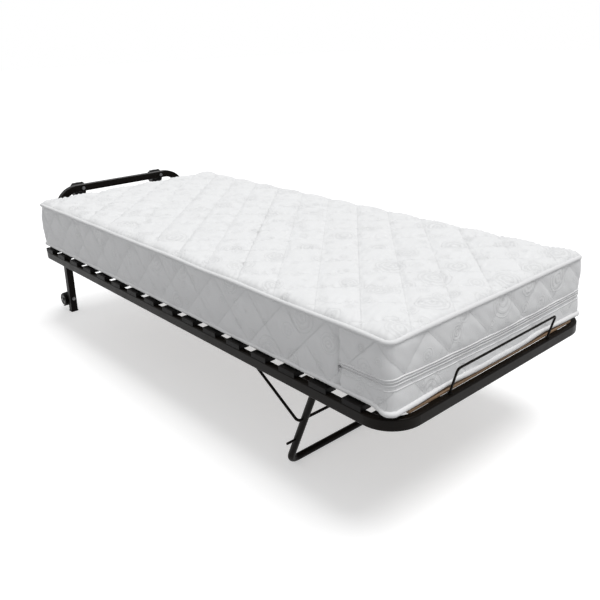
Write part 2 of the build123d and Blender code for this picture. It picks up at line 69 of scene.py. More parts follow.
# Heights of the zip's upper edge, at shares of its run.
ZIP_SHARES = (0, 0.08, 0.15, 0.3, 0.5, 0.7, 0.85, 0.92, 1)
ZIP_LEVELS = (0.4238, 0.4262, 0.4290, 0.4225, 0.4165, 0.4170, 0.4200, 0.4210, 0.4205)


def length_property(label, note, value):
    """A length that the panel shows."""
    return FloatProperty(name=label, description=note, default=value, unit="LENGTH")


def colour_property(label, note, value):
    """A colour that the panel shows."""
    return FloatVectorProperty(name=label, description=note, subtype="COLOR", size=3, default=value)


def level_property(label, note, value, subtype="NONE"):
    """A plain number that the panel shows."""
    return FloatProperty(name=label, description=note, default=value, subtype=subtype)


class MattressSizes(bpy.types.PropertyGroup):
    """Sizes of the mattress cover's sewn detail"""

    corner: length_property("Corner radius", "Plan radius of the mattress's corners", 0.027)
    tape: length_property("Tape radius", "Radius of the rolled tape at the edges", 0.0065)
    border_inset: length_property("Border inset", "How far the border stands inside the tapes", 0.005)
    quilt_pitch: length_property("Quilt pitch", "Width of a sewn diamond, corner to corner", 0.152)
    puff: length_property("Top puff", "Height of a diamond over its stitches on the top", 0.0092)
    border_puff: length_property("Border puff", "Height of a diamond over its stitches on the border", 0.0042)
    wrinkle: length_property("Wrinkle", "Height of the small wrinkles beside the stitches", 0.0026)
    cell: length_property("Mesh cell", "Side of a mesh cell on the top panel", 0.0055)


class FinishColours(bpy.types.PropertyGroup):
    """Colours of the bed's finishes"""

    ticking: colour_property("Ticking", "White damask of the cover", (0.83, 0.833, 0.835))
    tape: colour_property("Tape", "White woven edge tape", (0.85, 0.852, 0.853))
    steel: colour_property("Powder coat", "Black coat on the tubes", (0.0045, 0.0032, 0.0022))
    plastic: colour_property("Plastic", "Black moulded plastic", (0.0050, 0.0045, 0.0042))
    beech: colour_property("Beech", "Steamed beech of the slats", (0.36, 0.235, 0.14))
    zinc: colour_property("Zinc", "Dark plated fittings", (0.22, 0.22, 0.225))


class StudioLight(bpy.types.PropertyGroup):
    """Levels of the studio's light"""

    key: level_property("Key", "Strength of the soft light from above the foot", 1.86)
    key_angle: level_property("Softness", "Width of the soft light in the sky", 0.5, "ANGLE")
    room: level_property("Room", "Strength of the even light of the room", 0.44)
    glare: level_property("Glare", "Extra strength of the room's light beyond the head", 1.2)
    floor: level_property("Floor", "Paleness of the floor", 0.72)
    glow: level_property("Glow", "Paleness that the floor keeps in shadow", 0.46)


# Shapes


def smooth(value, low, high):
    """0 up to low, 1 from high onwards, and a soft slope between."""
    share = np.clip((value - low) / (high - low), 0, 1)
    return share * share * (3 - 2 * share)


def bell(away, width):
    """1 at no distance, falling off to both sides over a width."""
    return np.exp(-((away / width) ** 2))


def outline_loop(half_x, half_y, corner, cell):
    """Grid of a rounded rectangle. A plain grid is laid over the rectangle, and each corner square is
    pressed to a quarter disc: (a, b) goes to (a sqrt(1 - b b / 2), b sqrt(1 - a a / 2))."""
    columns = int(round(2 * half_x / cell))
    rows = int(round(2 * half_y / cell))
    x, y = np.meshgrid(np.linspace(-half_x, half_x, columns + 1), np.linspace(-half_y, half_y, rows + 1))
    a = np.clip((np.abs(x) - (half_x - corner)) / corner, 0, 1)
    b = np.clip((np.abs(y) - (half_y - corner)) / corner, 0, 1)
    x = np.sign(x) * (np.minimum(np.abs(x), half_x - corner) + corner * a * np.sqrt(1 - b * b / 2))
    y = np.sign(y) * (np.minimum(np.abs(y), half_y - corner) + corner * b * np.sqrt(1 - a * a / 2))
    return x, y


def rim_order(shape):
    """Flat indices of a grid's rim, counterclockwise seen from above, from the far corner at the head."""
    index = np.arange(shape[0] * shape[1]).reshape(shape)
    return np.concatenate([index[-1, :0:-1], index[:0:-1, 0], index[0, :-1], index[:-1, -1]])


class Rim:
    """The mattress's plan as a closed line: a place and an outward direction at each distance along it."""

    def __init__(self, sizes, inset):
        corner = sizes.corner - inset
        self.half = np.array([COVER_HALF_X - inset, COVER_HALF_Y - inset])
        self.corner = corner
        x, y = outline_loop(self.half[0], self.half[1], corner, sizes.cell)
        order = rim_order(x.shape)
        self.points = np.stack([x.ravel()[order], y.ravel()[order]], 1)
        past = np.maximum(np.abs(self.points) - (self.half - corner), 0) * np.sign(self.points)
        self.normals = past / np.linalg.norm(past, axis=1, keepdims=True)
        steps = np.linalg.norm(np.roll(self.points, -1, 0) - self.points, axis=1)
        self.along = np.concatenate([[0], np.cumsum(steps)[:-1]])
        self.length = steps.sum()

    def at(self, along):
        """Places and directions at distances along the line, read between its points."""
        place = [np.interp(along, self.along, c, period=self.length) for c in self.points.T]
        normal = [np.interp(along, self.along, c, period=self.length) for c in self.normals.T]
        return np.stack(place, -1), np.stack(normal, -1)

    def nearest(self, x, y):
        """Distance along the line of the point nearest to (x, y)."""
        return self.along[np.argmin(np.hypot(self.points[:, 0] - x, self.points[:, 1] - y))]


def ripple(u, v, seed, count, low, high):
    """Even, seeded unevenness from -1 to 1: a mean of sine waves of random direction, length and phase."""
    dice = np.random.default_rng(seed)
    total = np.zeros(np.broadcast(u, v).shape)
    for _ in range(count):
        turn = dice.uniform(0, 2 * np.pi)
        wave = 2 * np.pi / dice.uniform(low, high)
        total += np.sin(wave * (np.cos(turn) * u + np.sin(turn) * v) + dice.uniform(0, 2 * np.pi))
    return total / np.sqrt(count)


def cushioned(distance, reach):
    """Rise from a stitch line: 0 on the line, 1 from reach onwards. A third of it is a steep crease and the
    rest a broad dome."""
    share = np.clip(distance / reach, 0, 1)
    crease = 1 - (1 - np.clip(distance / (0.16 * reach), 0, 1)) ** 2
    return 0.34 * crease + 0.66 * (1 - (1 - share) ** 2.4)


def quilt_rise(u, v, pitch):
    """Rise of a diamond quilt: the product of the cushioned distances to both families of lines.
    Returns the rise and the distance to the nearest line."""
    spacing = pitch / np.sqrt(2)
    first = (u + v) / np.sqrt(2) / spacing
    second = (u - v) / np.sqrt(2) / spacing
    first = np.abs(first - np.round(first)) * spacing
    second = np.abs(second - np.round(second)) * spacing
    return cushioned(first, spacing / 2) * cushioned(second, spacing / 2), np.minimum(first, second)


def new_object(name, data):
    """An object in the scene, with the given data."""
    thing = bpy.data.objects.new(name, data)
    bpy.context.scene.collection.objects.link(thing)
    return thing


def make_piece(name, points, faces, uv, material, wrap=0.0):
    """One mesh object from arrays. uv holds one pair for each point. A quad that closes a ring of that
    wrapped length has its low corners moved on by it, so that the cloth isn't squeezed there."""
    mesh = bpy.data.meshes.new(name)
    mesh.from_pydata(points.tolist(), [], faces.tolist() if hasattr(faces, "tolist") else faces)
    mesh.update()
    layer = mesh.uv_layers.new(name="cloth")
    corner = np.zeros(len(mesh.loops), np.int32)
    mesh.loops.foreach_get("vertex_index", corner)
    corner_uv = uv[corner].astype(np.float32)
    if wrap:
        first = np.zeros(len(mesh.polygons), np.int32)
        mesh.polygons.foreach_get("loop_start", first)
        corners = np.diff(np.append(first, len(corner)))
        high = np.repeat(np.maximum.reduceat(corner_uv[:, 0], first), corners)
        corner_uv[:, 0] += np.where(high - corner_uv[:, 0] > wrap / 2, wrap, 0)
    layer.data.foreach_set("uv", corner_uv.ravel())
    mesh.polygons.foreach_set("use_smooth", np.full(len(mesh.polygons), True))
    mesh.materials.append(material)
    piece = new_object(name, mesh)
    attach(piece, "bed_frame")
    return piece


def ring_faces(rows, columns, closed_rows=False):
    """Quads between rows of points that each close on themselves."""
    row = np.arange(rows if closed_rows else rows - 1)[:, None]
    column = np.arange(columns)[None, :]
    a = row * columns + column
    b = row * columns + (column + 1) % columns
    c = ((row + 1) % rows) * columns + (column + 1) % columns
    d = ((row + 1) % rows) * columns + column
    return np.stack([a, b, c, d], -1).reshape(-1, 4)


def tube_along(centre, normal, across, up, count):
    """Closed oval tube round a line: each section is the line's point plus its outward direction times
    a cosine plus the upright direction times a sine."""
    turn = 2 * np.pi * np.arange(count) / count
    points = (
        centre[:, None, :]
        + across[:, None, None] * np.cos(turn)[None, :, None] * normal[:, None, :]
        + up[:, None, None] * np.sin(turn)[None, :, None] * np.array([0, 0, 1.0])
    )
    return points.reshape(-1, 3), turn


def foot_lift(place):
    """How far the lower edge leaves its level at the foot, where it lies on the straight slat, less so at
    the retaining wire's feet and more so past the slat's ends."""
    across = place[..., 0]
    at_foot = smooth(-place[..., 1], COVER_HALF_Y - 0.06, COVER_HALF_Y - 0.02)
    humps = bell(across + RETAINER_FOOT_X, HUMP_WIDTH) + bell(across - RETAINER_FOOT_X, HUMP_WIDTH)
    past_slat = smooth(np.abs(across), SLAT_END_X, SLAT_END_X + 0.04)
    return at_foot * (FOOT_HUMP * humps - FOOT_DROOP - END_DROOP * past_slat)


def tape_levels(sizes):
    """Heights of the lower and the upper tape's middle line."""
    return COVER_LOW[2] + sizes.tape, COVER_HIGH[2] - CROWN - sizes.tape


def border_cloth(sizes, rim, along):
    """Distances along the rim as the border's cloth has them, counted from a diamond's corner, with the
    pitch scaled so that whole diamonds go round."""
    whole = rim.length / round(rim.length / sizes.quilt_pitch)
    return (along - rim.nearest(-COVER_HALF_X, BORDER_NODE_Y)) * sizes.quilt_pitch / whole


def border_swell(sizes, rim, along, height):
    """How far the border stands out at a distance along the rim and a height: an even bulge, the
    quilted diamonds, a gathered corner, the pull of the side seams and of the zip."""
    bulge, stitch_sink, unevenness = 0.0025, 0.0014, 0.0007
    gather_reach, gather_depth, gather_sink, gather_fold, fold_pitch = 0.05, 0.022, 0.0022, 0.0016, 0.013
    seam_sink, seam_width, tuck_rise, tuck_reach, tuck_pitch = 0.0085, 0.0065, 0.0008, 0.02, 0.016
    zip_middle, zip_reach, zip_sink = 0.012, 0.020, 0.0018
    low, high = tape_levels(sizes)
    share = np.clip((height - low) / (high - low), 0, 1)
    place, _ = rim.at(along)
    cloth = border_cloth(sizes, rim, along)
    rise, _ = quilt_rise(cloth, height - (low + high) / 2, sizes.quilt_pitch)
    edge = cushioned(np.minimum(height - low, high - height), 0.02)
    near_zip = bell(height - zip_height(rim, along) + zip_middle, zip_reach) * zip_share(rim, along)
    uneven = ripple(place[..., 0] + 0.6 * height, place[..., 1] - 0.6 * height, 5, 9, 0.03, 0.09)
    swell = bulge * np.sin(np.pi * share)
    swell += (sizes.border_puff * rise - stitch_sink) * edge * (1 - 0.85 * near_zip)
    swell += unevenness * uneven * edge * (1 - 0.7 * near_zip)
    gather = np.zeros_like(swell)
    for corner_x in (-COVER_HALF_X, COVER_HALF_X):
        for corner_y in (-COVER_HALF_Y, COVER_HALF_Y):
            gather += bell(np.hypot(place[..., 0] - corner_x, place[..., 1] - corner_y), gather_reach)
    folds = gather_fold * np.sin(2 * np.pi * along / fold_pitch) - gather_sink
    swell += gather * bell(high - height, gather_depth) * folds
    for seam in side_seams(rim):
        gap = (along - seam + rim.length / 2) % rim.length - rim.length / 2
        swell -= seam_sink * bell(gap, seam_width) * np.clip(edge * 2, 0, 1)
        swell += tuck_rise * bell(gap, tuck_reach) * np.sin(2 * np.pi * height / tuck_pitch) * edge
    return swell - zip_sink * near_zip


def side_seams(rim):
    """Where the two upright seams stand, one on each long side, as distances along the rim."""
    return [rim.nearest(-COVER_HALF_X, SEAM_Y), rim.nearest(COVER_HALF_X, SEAM_Y)]


def zip_run(rim):
    """Start and length of the zip along the rim, from the near seam round the foot to the far one."""
    start, end = side_seams(rim)
    return start, (end - start) % rim.length


def zip_share(rim, along):
    """1 where the zip runs, 0 elsewhere, with a short slope between."""
    start, run = zip_run(rim)
    past = (along - start) % rim.length
    return np.clip(np.minimum(past, run - past) / 0.006, 0, 1) * (past < run)


def zip_height(rim, along):
    """Height of the zip's upper edge: it climbs to the near corner, sags along the foot and climbs again."""
    start, run = zip_run(rim)
    past = ((along - start) % rim.length) / run
    return np.interp(np.clip(past, 0, 1), ZIP_SHARES, ZIP_LEVELS)


def make_cover(sizes, material):
    """The padded cover as one closed skin. The top is the height of a plain panel that rises from the
    tape, plus the quilt, plus wrinkles that fade away from the stitches and puckers that fade from the
    edge. The border is the rim pushed out by its swell. The underside draws in to a middle point."""
    crown_rise, crown_reach, quilt_fade = 0.0115, 0.030, 0.055
    wrinkle_reach, stitch_gap, slack = 0.034, 0.003, 0.0009
    pucker_rise, pucker_pitch, pucker_depth, pucker_width = 0.0019, 0.021, 0.014, 0.013
    rim = Rim(sizes, sizes.border_inset)
    x, y = outline_loop(rim.half[0], rim.half[1], rim.corner, sizes.cell)
    past = np.maximum(np.stack([np.abs(x) - rim.half[0], np.abs(y) - rim.half[1]], -1) + rim.corner, 0)
    depth_corner = rim.corner - np.hypot(past[..., 0], past[..., 1])
    depth_side = np.minimum(rim.half[0] - np.abs(x), rim.half[1] - np.abs(y))
    depth = np.where(depth_side >= rim.corner, depth_side, np.minimum(depth_corner, depth_side))
    depth = np.maximum(depth, 0)
    rise, line = quilt_rise(x, y, sizes.quilt_pitch)
    edge = cushioned(depth, quilt_fade)
    low, tape_z = tape_levels(sizes)
    z = tape_z + crown_rise * cushioned(depth, crown_reach) + sizes.puff * rise * edge
    near_line = np.exp(-line / wrinkle_reach) * np.clip(line / stitch_gap, 0, 1)
    streaks = ripple(x * 0.35 + y * 0.3, y * 1.5 - x * 0.6, 21, 16, 0.016, 0.050)
    z += sizes.wrinkle * streaks * near_line * edge
    z += slack * ripple(x, y, 3, 10, 0.12, 0.4) * edge
    spin = np.where(depth_side == rim.half[0] - np.abs(x), y, x)
    pucker = np.sin(2 * np.pi * spin / pucker_pitch + 2.5 * ripple(x, y, 8, 5, 0.1, 0.3))
    z += pucker_rise * pucker * bell(depth - pucker_depth, pucker_width)
    top = np.stack([x, y, z], -1).reshape(-1, 3)
    order = rim_order(x.shape)

    columns = len(order)
    rows = 30
    share = np.linspace(1, 0, rows)[1:]
    height = low + (tape_z - low) * share
    along = np.broadcast_to(rim.along, (rows - 1, columns))
    heights = np.broadcast_to(height[:, None], (rows - 1, columns))
    swell = border_swell(sizes, rim, along, heights)
    lift = foot_lift(rim.points) * (1 - share[:, None]) ** 3
    border = np.concatenate(
        [rim.points[None] + swell[..., None] * rim.normals[None], (heights + lift)[..., None]], -1
    )
    shrink = np.array([0.9985, 0.994, 0.97, 0.9, 0.6, 0.3])
    under_z = COVER_LOW[2] + np.array([0.0035, 0.0012, 0.0006, 0.0004, 0.0004, 0.0004])
    under_lift = foot_lift(rim.points) * np.array([1, 0.8, 0.3, 0, 0, 0])[:, None]
    under = np.concatenate(
        [rim.points[None] * shrink[:, None, None], (under_z[:, None] + under_lift)[..., None]], -1
    )
    middle = np.array([[0, 0, COVER_LOW[2] + 0.0004]])
    points = np.concatenate([top, border.reshape(-1, 3), under.reshape(-1, 3), middle])
    uv = points[:, :2].copy()
    band = slice(len(top), len(top) + border.shape[0] * columns)
    uv[band, 0] = np.tile(border_cloth(sizes, rim, rim.along), rows - 1)
    uv[band, 1] = np.repeat(height - (low + tape_z) / 2, columns)

    index = np.arange(x.size).reshape(x.shape)
    faces = [np.stack([index[:-1, :-1], index[:-1, 1:], index[1:, 1:], index[1:, :-1]], -1).reshape(-1, 4)]
    ladder = np.concatenate([order, len(top) + np.arange((rows - 1 + len(shrink)) * columns)])
    quads = ring_faces(rows + len(shrink), columns)[:, ::-1]
    faces.append(ladder[quads])
    last = len(points) - 1 - columns + np.arange(columns)
    fan = np.stack([np.roll(last, -1), last, np.full(columns, len(points) - 1)], -1)
    points[:, 1] += COVER_MIDDLE_Y
    cover = make_piece(
        "mattress_ticking", points, np.concatenate(faces).tolist() + fan.tolist(), uv, material, rim.length
    )
    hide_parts("mattress_cover", "mattress_core")
    return cover


def make_tape(name, sizes, height, seed, material):
    """A rolled edge tape: an oval tube along the rim, its height and thickness softly uneven."""
    sides, step, foot_bulge, pinch_pitch = 18, 0.005, 0.0045, 0.0137
    rim = Rim(sizes, sizes.tape)
    along = np.linspace(0, rim.length, int(rim.length / step), endpoint=False)
    place, normal = rim.at(along)
    wave = ripple(place[:, 0], place[:, 1], seed, 8, 0.18, 0.5)
    low = height < (COVER_LOW[2] + COVER_HIGH[2]) / 2
    z = height + (0.0008 * (1 + wave) + foot_lift(place) if low else 0.0010 * wave)
    if low:
        at_foot = np.clip((-place[:, 1] - (COVER_HALF_Y - 0.03)) / 0.02, 0, 1)
        drooped = 1 - np.clip(foot_lift(place) / FOOT_DROOP + 1, 0, 1)
        place = place + normal * (foot_bulge * at_foot * drooped)[:, None]
    centre = np.column_stack([place, z])
    normal = np.column_stack([normal / np.linalg.norm(normal, axis=1, keepdims=True), np.zeros(len(along))])
    pinch = 1 + 0.05 * np.sin(2 * np.pi * along / pinch_pitch) + 0.04 * wave
    points, turn = tube_along(centre, normal, sizes.tape * 0.98 * pinch, sizes.tape * 0.95 * pinch, sides)
    uv = np.stack([np.repeat(along, sides), np.tile(turn * sizes.tape, len(along))], -1)
    points[:, 1] += COVER_MIDDLE_Y
    faces = ring_faces(len(along), sides, closed_rows=True)
    tape = make_piece(name, points, faces, uv, material, rim.length)
    return tape


def cap_faces(rows, count):
    """Triangles from two end points, which follow the rows of points, to the first and the last row."""
    k = np.arange(count)
    after, last = (k + 1) % count, (rows - 1) * count
    first_fan = np.stack([np.full(count, rows * count), after, k], -1)
    last_fan = np.stack([np.full(count, rows * count + 1), last + k, last + after], -1)
    return np.stack([first_fan, last_fan], 1).reshape(-1, 3).tolist()


def capped_tube(centre, normal, across, up, count):
    """An open oval tube with a point at each end's middle, and its faces."""
    points, turn = tube_along(centre, normal, across, up, count)
    faces = ring_faces(len(centre), count).tolist() + cap_faces(len(centre), count)
    return np.concatenate([points, centre[[0]], centre[[-1]]]), faces, turn


def zip_ridge(name, sizes, drop, out, across, up, material, tooth=0.0):
    """One ridge of the zip: a low oval tube laid on the border, a drop below the zip's upper edge.
    With a tooth pitch its thickness beats like a coil's turns."""
    rim = Rim(sizes, sizes.border_inset)
    start, run = zip_run(rim)
    step = tooth / 4 if tooth else 0.005
    past = np.linspace(0.002, run - 0.002, int(run / step))
    along = start + past
    height = zip_height(rim, along) - drop
    place, normal = rim.at(along)
    swell = border_swell(sizes, rim, along % rim.length, height) + out
    centre = np.column_stack([place + swell[:, None] * normal, height])
    normal = np.column_stack([normal, np.zeros(len(along))])
    if tooth:
        beat = 1 + 0.35 * np.sign(np.sin(2 * np.pi * past / tooth))
    else:
        beat = 1 + 0.06 * np.sin(2 * np.pi * past / 0.011)
    count = 6 if tooth else 10
    points, faces, turn = capped_tube(centre, normal, across * beat, up * np.ones(len(along)), count)
    uv = np.stack([np.repeat(past, count), np.tile(turn * up, len(along))], -1)
    uv = np.concatenate([uv, [[0, 0], [run, 0]]])
    points[:, 1] += COVER_MIDDLE_Y
    ridge = make_piece(name, points, faces, uv, material)
    return ridge


def rounded_block(centre, half, power, rings, sides):
    """A closed block with soft edges: a sphere's latitude and longitude with each sine and cosine raised
    to a power below 1, times the three half sizes."""

    def soft(value):
        return np.sign(value) * np.abs(value) ** power

    lat = np.linspace(-np.pi / 2, np.pi / 2, rings)[1:-1, None]
    lon = (2 * np.pi * np.arange(sides) / sides)[None, :]
    ring = soft(np.cos(lat))
    body = np.stack([ring * soft(np.cos(lon)), ring * soft(np.sin(lon)), soft(np.sin(lat)) + 0 * lon], -1)
    body = body.reshape(-1, 3)
    points = np.concatenate([body, [[0, 0, -1], [0, 0, 1]]]) * half + centre
    return points, ring_faces(rings - 2, sides).tolist() + cap_faces(rings - 2, sides)


def join_arrays(parts):
    """Points and faces of several shapes as one, with the later faces counted on."""
    points, faces, count = [], [], 0
    for some_points, some_faces in parts:
        points.append(some_points)
        faces += [[corner + count for corner in face] for face in some_faces]
        count += len(some_points)
    return np.concatenate(points), faces


def make_slider(sizes, material):
    """The zip's slider at its near end: a soft-edged body on the teeth and a flat pull that hangs from it.
    Each block has its place from the body's middle, its half sizes, its softness and its mesh."""
    rim = Rim(sizes, sizes.border_inset)
    start, _ = zip_run(rim)
    along = np.array([start + 0.009])
    height = zip_height(rim, along)[0] - 0.0095
    place, _ = rim.at(along)
    out = place[0, 0] - 0.0042
    y = place[0, 1] + COVER_MIDDLE_Y
    body = ((0, 0, 0), (0.0022, 0.0036, 0.0028), 0.5, 10, 16)
    bridge = ((-0.0020, 0, 0), (0.0010, 0.0022, 0.0010), 0.6, 8, 12)
    pull = ((-0.0027, 0, -0.0058), (0.0007, 0.0020, 0.0058), 0.35, 10, 16)
    middle = np.array([out, y, height])
    parts = (body, bridge, pull)
    blocks = [rounded_block(middle + shift, np.array(half), *mesh) for shift, half, *mesh in parts]
    points, faces = join_arrays(blocks)
    slider = make_piece("zip_slider", points, faces, points[:, 1:].copy(), material)
    return slider


def make_seam_stitches(name, sizes, seam, side, material):
    """A row of short thread stitches down an upright seam, each a soft-edged capsule."""
    rim = Rim(sizes, sizes.border_inset)
    stitch_pitch, seam_gap, past_tape = 0.0058, 0.0035, 1.2 * sizes.tape
    low, high = tape_levels(sizes)
    heights = np.arange(low + past_tape, high - past_tape, stitch_pitch)
    along = np.full(len(heights), seam + seam_gap * side)
    swell = border_swell(sizes, rim, along, heights)
    place, normal = rim.at(along)
    spots = place + (swell + 0.0001)[:, None] * normal
    parts = [
        rounded_block(np.array([x, y + COVER_MIDDLE_Y, z]), np.array([0.0005, 0.0005, 0.0021]), 0.9, 6, 6)
        for (x, y), z in zip(spots, heights)
    ]
    points, faces = join_arrays(parts)
    stitches = make_piece(name, points, faces, points[:, 1:].copy(), material)
    return stitches


# Materials


class Wiring:
    """Short words for placing and joining shader nodes in one tree."""

    def __init__(self, tree):
        self.tree = tree

    def feed(self, socket, value):
        """Join the socket to another one, or set it to a plain value."""
        if isinstance(value, bpy.types.NodeSocket):
            self.tree.links.new(value, socket)
        else:
            socket.default_value = value

    def put(self, kind, inputs=(), **settings):
        node = self.tree.nodes.new(kind)
        for key, value in settings.items():
            setattr(node, key, value)
        for key, value in dict(inputs).items():
            self.feed(node.inputs[key], value)
        return node

    def calc(self, operation, *values, clamp=False):
        return self.put("ShaderNodeMath", enumerate(values), operation=operation, use_clamp=clamp).outputs[0]

    def spread(self, value, low, high, to_low=0.0, to_high=1.0):
        node = self.put(
            "ShaderNodeMapRange",
            {"Value": value, "From Min": low, "From Max": high, "To Min": to_low, "To Max": to_high},
        )
        return node.outputs["Result"]

    def noise(self, vector, scale, detail=2.0, rough=0.5):
        return self.put(
            "ShaderNodeTexNoise", {"Vector": vector, "Scale": scale, "Detail": detail, "Roughness": rough}
        ).outputs["Fac"]

    def stretched(self, vector, scale, place=(0, 0, 0), turn=(0, 0, 0)):
        return self.put(
            "ShaderNodeMapping", {"Vector": vector, "Scale": scale, "Location": place, "Rotation": turn}
        ).outputs["Vector"]

    def tint(self, share, first, second):
        node = self.put("ShaderNodeMix", {"Factor": share}, data_type="RGBA")
        sockets = [socket for socket in node.inputs if socket.type == "RGBA"]
        for socket, value in zip(sockets, (first, second)):
            self.feed(socket, (*value, 1) if isinstance(value, tuple) else value)
        return next(socket for socket in node.outputs if socket.type == "RGBA")

    def axes(self, vector):
        return self.put("ShaderNodeSeparateXYZ", {0: vector}).outputs

    def place(self):
        return self.put("ShaderNodeTexCoord").outputs["Object"]

    def cloth(self):
        return self.put("ShaderNodeUVMap", uv_map="cloth").outputs["UV"]


def toned(colour, share):
    """A colour made darker or lighter by one share."""
    return tuple(part * share for part in colour)


def effect_group(name, inputs, outputs, fill):
    """A shader node group, built once, with a Vector input, named numbers in and named values out."""
    if name in bpy.data.node_groups:
        return bpy.data.node_groups[name]
    tree = bpy.data.node_groups.new(name, "ShaderNodeTree")
    tree.interface.new_socket("Vector", in_out="INPUT", socket_type="NodeSocketVector")
    for label, value in inputs.items():
        socket = tree.interface.new_socket(label, in_out="INPUT", socket_type="NodeSocketFloat")
        socket.default_value = value
    for label in outputs:
        tree.interface.new_socket(label, in_out="OUTPUT", socket_type="NodeSocketFloat")
    start = tree.nodes.new("NodeGroupInput")
    end = tree.nodes.new("NodeGroupOutput")
    results = fill(Wiring(tree), start.outputs)
    for label, value in results.items():
        tree.links.new(value, end.inputs[label])
    return tree


def coat_grain():
    """Fine orange peel of a sprayed or moulded face: one small noise and one broad one."""

    def fill(w, given):
        fine = w.noise(given["Vector"], given["Scale"], 2.0, 0.6)
        broad = w.noise(given["Vector"], w.calc("MULTIPLY", given["Scale"], 0.03), 3.0, 0.6)
        height = w.calc("MULTIPLY_ADD", fine, 0.7, w.calc("MULTIPLY", broad, 0.3))
        return {"Height": height, "Tone": broad}

    return effect_group("coat_grain", {"Scale": 900.0}, ("Height", "Tone"), fill)


def rub_marks():
    """Scuffs where tubes are gripped and stacked: long thin noise, kept only at its peaks and in patches."""

    def fill(w, given):
        long = w.stretched(given["Vector"], (60, 14, 60))
        streak = w.spread(w.noise(long, 3.0, 4.0, 0.65), 0.60, 0.74)
        patch = w.spread(w.noise(given["Vector"], 5.0, 2.0, 0.5), 0.50, 0.70)
        mark = w.calc("MULTIPLY", w.calc("MULTIPLY", streak, patch), given["Amount"])
        return {"Mark": mark}

    return effect_group("rub_marks", {"Amount": 1.0}, ("Mark",), fill)


def settled_dust():
    """Dust on faces that look up: the upright part of the surface direction times a soft noise."""

    def fill(w, given):
        facing = w.axes(w.put("ShaderNodeNewGeometry").outputs["Normal"])["Z"]
        flat = w.spread(facing, 0.55, 1.0)
        soft = w.spread(w.noise(given["Vector"], 38.0, 4.0, 0.65), 0.35, 0.75)
        return {"Dust": w.calc("MULTIPLY", w.calc("MULTIPLY", flat, soft), given["Amount"])}

    return effect_group("settled_dust", {"Amount": 0.5}, ("Dust",), fill)


def wood_figure():
    """Beech figure along X: soft bands, and the short dark flecks of its rays."""

    def fill(w, given):
        long = w.stretched(given["Vector"], (1.6, 34, 34))
        band = w.noise(long, 2.6, 3.0, 0.55)
        fleck_place = w.stretched(given["Vector"], (55, 520, 520))
        fleck = w.spread(w.noise(fleck_place, 1.0, 1.0, 0.5), 0.60, 0.72)
        piece = w.noise(w.stretched(given["Vector"], (0.0, 8.8, 0.0)), 1.0, 0.0)
        return {"Band": band, "Fleck": fleck, "Piece": piece}

    return effect_group("wood_figure", {}, ("Band", "Fleck", "Piece"), fill)


def ring_motif():
    """Woven rings: every cell of a scattered pattern holds a nest of rings round its middle, of its own
    size, and cells with a low random number stay plain."""

    def fill(w, given):
        cells = w.put(
            "ShaderNodeTexVoronoi",
            {"Vector": given["Vector"], "Scale": given["Scale"], "Randomness": 0.62},
            voronoi_dimensions="2D",
        )
        random = w.put("ShaderNodeSeparateColor", {"Color": cells.outputs["Color"]})
        size = w.spread(random.outputs["Red"], 0.0, 1.0, 0.10, 0.36)
        inside = w.spread(w.calc("SUBTRACT", size, cells.outputs["Distance"]), 0.0, 0.02)
        shown = w.spread(random.outputs["Green"], 0.22, 0.24)
        share = w.calc("DIVIDE", cells.outputs["Distance"], size)
        wave = w.calc("COSINE", w.calc("MULTIPLY", share, given["Rings"]))
        ring = w.spread(wave, -0.35, 0.35)
        ring = w.calc("MULTIPLY", w.calc("MULTIPLY", ring, inside), shown)
        return {"Ring": ring}

    return effect_group("ring_motif", {"Scale": 8.0, "Rings": 15.7}, ("Ring",), fill)


def knit_ground():
    """The ticking's fine ribs: two crossed waves under a thread apart, and a soft unevenness."""

    def fill(w, given):
        parts = w.axes(given["Vector"])
        across = w.calc("SINE", w.calc("MULTIPLY", parts["X"], given["Threads"]))
        along = w.calc("SINE", w.calc("MULTIPLY", parts["Y"], w.calc("MULTIPLY", given["Threads"], 0.62)))
        weave = w.calc("MULTIPLY_ADD", w.calc("MULTIPLY", across, along), 0.5, 0.5)
        cloud = w.noise(given["Vector"], 9.0, 4.0, 0.6)
        return {"Weave": weave, "Cloud": cloud}

    return effect_group("knit_ground", {"Threads": 5200.0}, ("Weave", "Cloud"), fill)


def quilt_thread():
    """Stitches on the quilt's lines: the distance to the nearest line of either family, cut into dashes
    by a wave along the line."""

    def fill(w, given):
        parts = w.axes(given["Vector"])
        masks = []
        for sign in (1.0, -1.0):
            turned = w.calc("MULTIPLY_ADD", parts["Y"], sign, parts["X"])
            other = w.calc("MULTIPLY_ADD", parts["Y"], -sign, parts["X"])
            away = w.calc("ABSOLUTE", w.calc("PINGPONG", turned, w.calc("MULTIPLY", given["Pitch"], 0.5)))
            on_line = w.spread(away, 0.0006, 0.0013, 1.0, 0.0)
            dash = w.spread(w.calc("SINE", w.calc("MULTIPLY", other, 1050.0)), -0.8, -0.4)
            masks.append(w.calc("MULTIPLY", on_line, dash))
        return {"Thread": w.calc("MAXIMUM", masks[0], masks[1])}

    return effect_group("quilt_thread", {"Pitch": 0.152}, ("Thread",), fill)


def principled(name, **constants):
    """A new material with its Principled shader, whose constant sockets are set by name."""
    material = bpy.data.materials.new(name)
    material.use_nodes = True
    shader = material.node_tree.nodes["Principled BSDF"]
    for label, value in constants.items():
        shader.inputs[label.replace("_", " ")].default_value = value
    return material, shader, Wiring(material.node_tree)


def place_group(w, group, vector, **values):
    """One use of an effect group, with its own numbers."""
    node = w.put("ShaderNodeGroup", node_tree=group)
    w.tree.links.new(vector, node.inputs["Vector"])
    for label, value in values.items():
        node.inputs[label].default_value = value
    return node.outputs


